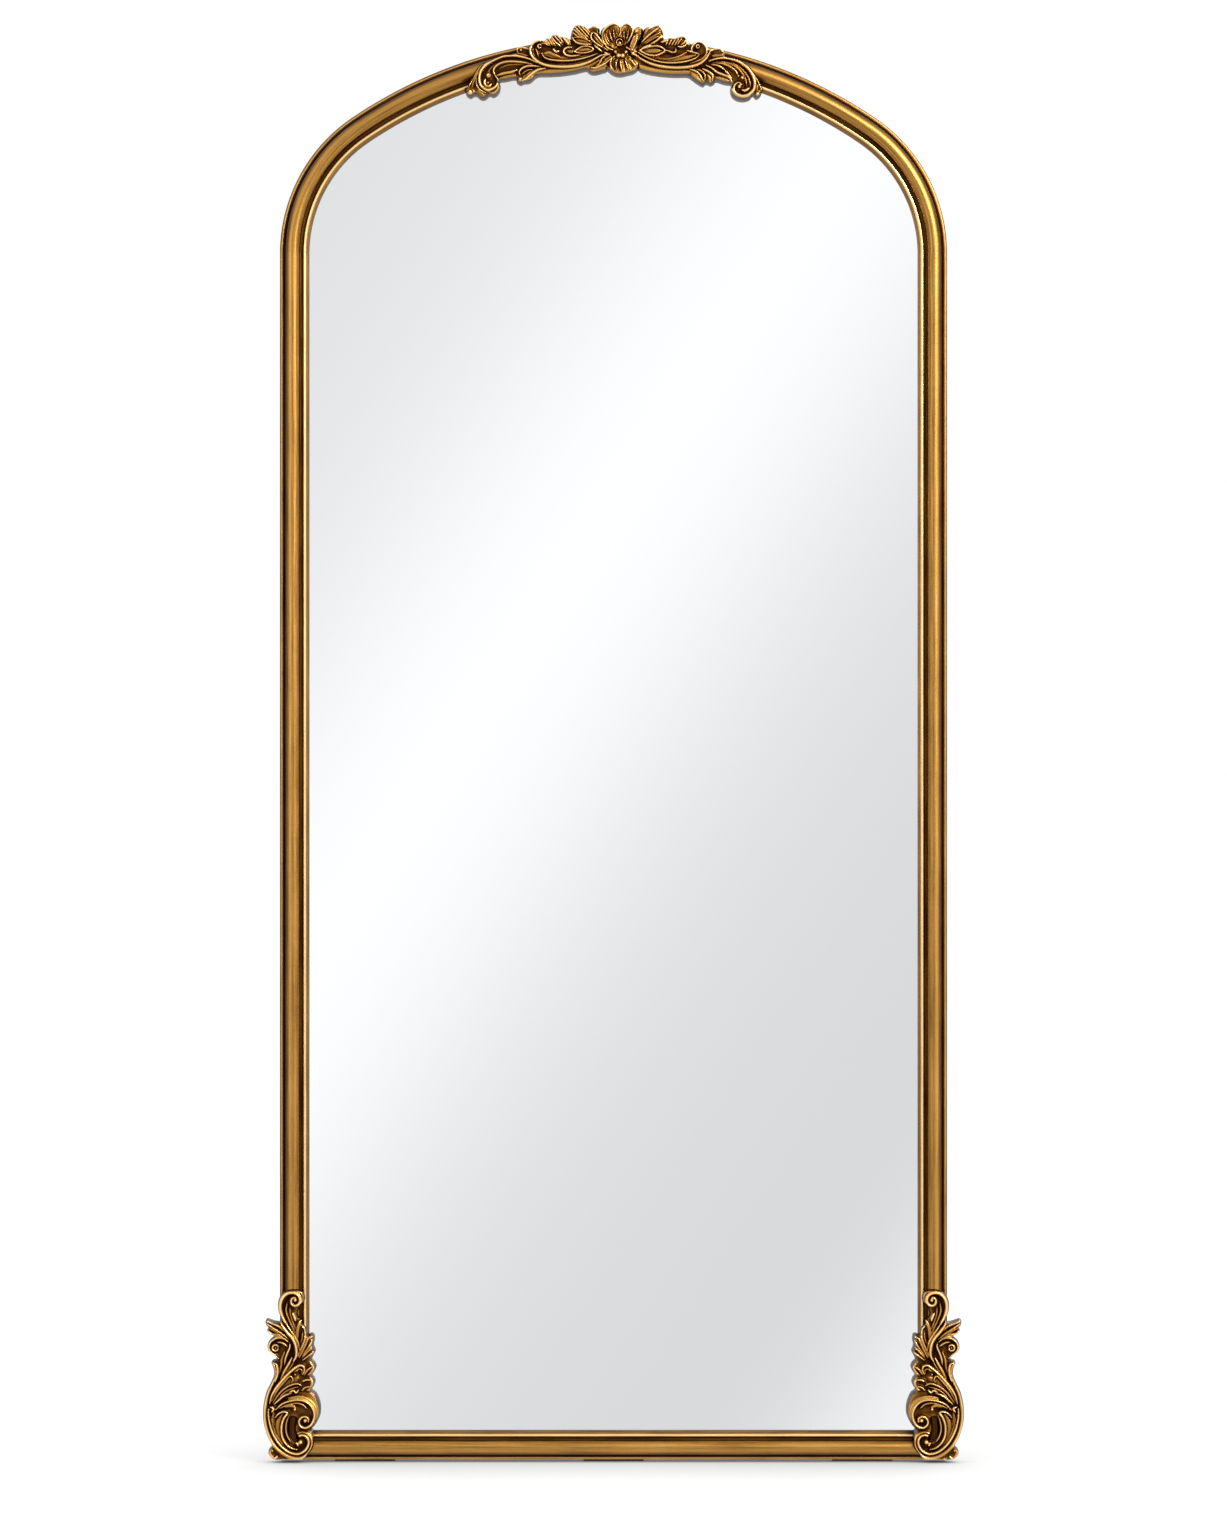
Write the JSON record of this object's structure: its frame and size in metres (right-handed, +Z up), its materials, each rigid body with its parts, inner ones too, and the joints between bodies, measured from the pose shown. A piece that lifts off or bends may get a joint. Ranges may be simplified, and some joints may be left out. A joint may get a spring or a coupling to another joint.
{
  "type": "leaning floor mirror",
  "caption": "Full-length arched floor mirror that leans on a wall, with a gilded moulded frame, a carved flower crest and carved scroll corners.",
  "frame": {"origin": "on the floor, at the middle of the centre floor pad's underside, midway across the mirror", "axes": "+Z up along the mirror's height; -Y out of the mirror's face and +Y to the wall it leans on; +X to the viewer's right. The mirror is modelled upright; in use it leans back 5 to 8 degrees."},
  "size_m": [0.8176, 0.0465, 1.6764],
  "materials": {
    "gilded_wood": "antique gold gilding with streaks along the moulding and dark brown toning in the grooves, satin",
    "gilded_casting": "cast ornament gilded in antique gold, bright on its ridges and dark brown in its recesses",
    "silvered_glass": "flat silvered mirror plate",
    "fibreboard": "raw brown fibreboard",
    "zinc_steel": "zinc-plated pressed steel",
    "brass_screw": "brass-plated steel",
    "black_rubber": "matt black rubber"
  },
  "bodies": {
    "root": {"left_stile": "gilded_wood", "right_stile": "gilded_wood", "bottom_rail": "gilded_wood", "arch_left": "gilded_wood", "arch_right": "gilded_wood", "crest_flower": "gilded_casting", "crest_spray_left": "gilded_casting", "crest_spray_right": "gilded_casting", "corner_ornament_left": "gilded_casting", "corner_ornament_right": "gilded_casting", "mirror_glass": "silvered_glass", "backing_board": "fibreboard", "corner_bracket_left": "zinc_steel", "corner_bracket_right": "zinc_steel", "mending_plate_left": "zinc_steel", "mending_plate_right": "zinc_steel", "crown_plate": "zinc_steel", "corner_bracket_screw_left_1": "zinc_steel", "corner_bracket_screw_left_2": "zinc_steel", "corner_bracket_screw_left_3": "zinc_steel", "corner_bracket_screw_left_4": "zinc_steel", "corner_bracket_screw_right_1": "zinc_steel", "corner_bracket_screw_right_2": "zinc_steel", "corner_bracket_screw_right_3": "zinc_steel", "corner_bracket_screw_right_4": "zinc_steel", "mending_screw_left_1": "zinc_steel", "mending_screw_left_2": "zinc_steel", "mending_screw_right_1": "zinc_steel", "mending_screw_right_2": "zinc_steel", "crown_plate_screw_1": "zinc_steel", "crown_plate_screw_2": "zinc_steel", "turn_button_screw_1": "zinc_steel", "turn_button_screw_2": "zinc_steel", "turn_button_screw_3": "zinc_steel", "turn_button_screw_4": "zinc_steel", "turn_button_screw_5": "zinc_steel", "turn_button_screw_6": "zinc_steel", "turn_button_screw_7": "zinc_steel", "turn_button_screw_8": "zinc_steel", "hanger_strap_left": "zinc_steel", "hanger_strap_right": "zinc_steel", "hanger_screw_left_1": "brass_screw", "hanger_screw_left_2": "brass_screw", "hanger_screw_right_1": "brass_screw", "hanger_screw_right_2": "brass_screw", "floor_pad_left": "black_rubber", "floor_pad_centre": "black_rubber", "floor_pad_right": "black_rubber", "wall_bumper_left": "black_rubber", "wall_bumper_right": "black_rubber"},
    "button_1": {"turn_button_1": "zinc_steel"},
    "button_2": {"turn_button_2": "zinc_steel"},
    "button_3": {"turn_button_3": "zinc_steel"},
    "button_4": {"turn_button_4": "zinc_steel"},
    "button_5": {"turn_button_5": "zinc_steel"},
    "button_6": {"turn_button_6": "zinc_steel"},
    "button_7": {"turn_button_7": "zinc_steel"},
    "button_8": {"turn_button_8": "zinc_steel"},
    "ring_left": {"hanger_ring_left": "zinc_steel"},
    "ring_right": {"hanger_ring_right": "zinc_steel"}
  },
  "joints": [
    {"name": "turn_button_pivot_1", "type": "hinge", "parent": "root", "child": "button_1", "pos_m": [-0.372, 0.0086, 0.33], "axis": [0, 1, 0], "range_deg": [0, 90]},
    {"name": "turn_button_pivot_2", "type": "hinge", "parent": "root", "child": "button_2", "pos_m": [-0.372, 0.0086, 0.96], "axis": [0, 1, 0], "range_deg": [0, 90]},
    {"name": "turn_button_pivot_3", "type": "hinge", "parent": "root", "child": "button_3", "pos_m": [0.372, 0.0086, 0.33], "axis": [0, -1, 0], "range_deg": [0, 90]},
    {"name": "turn_button_pivot_4", "type": "hinge", "parent": "root", "child": "button_4", "pos_m": [0.372, 0.0086, 0.96], "axis": [0, -1, 0], "range_deg": [0, 90]},
    {"name": "turn_button_pivot_5", "type": "hinge", "parent": "root", "child": "button_5", "pos_m": [-0.18, 0.0086, 0.019], "axis": [0, 1, 0], "range_deg": [0, 90]},
    {"name": "turn_button_pivot_6", "type": "hinge", "parent": "root", "child": "button_6", "pos_m": [0.18, 0.0086, 0.019], "axis": [0, -1, 0], "range_deg": [0, 90]},
    {"name": "turn_button_pivot_7", "type": "hinge", "parent": "root", "child": "button_7", "pos_m": [-0.33666, 0.0086, 1.51412], "axis": [0, 1, 0], "range_deg": [0, 90]},
    {"name": "turn_button_pivot_8", "type": "hinge", "parent": "root", "child": "button_8", "pos_m": [0.33666, 0.0086, 1.51412], "axis": [0, -1, 0], "range_deg": [0, 90]},
    {"name": "hanger_ring_swing_left", "type": "hinge", "parent": "root", "child": "ring_left", "pos_m": [-0.375, 0.011, 1.25], "axis": [1, 0, 0], "range_deg": [0, 180]},
    {"name": "hanger_ring_swing_right", "type": "hinge", "parent": "root", "child": "ring_right", "pos_m": [0.375, 0.011, 1.25], "axis": [1, 0, 0], "range_deg": [0, 180]}
  ]
}
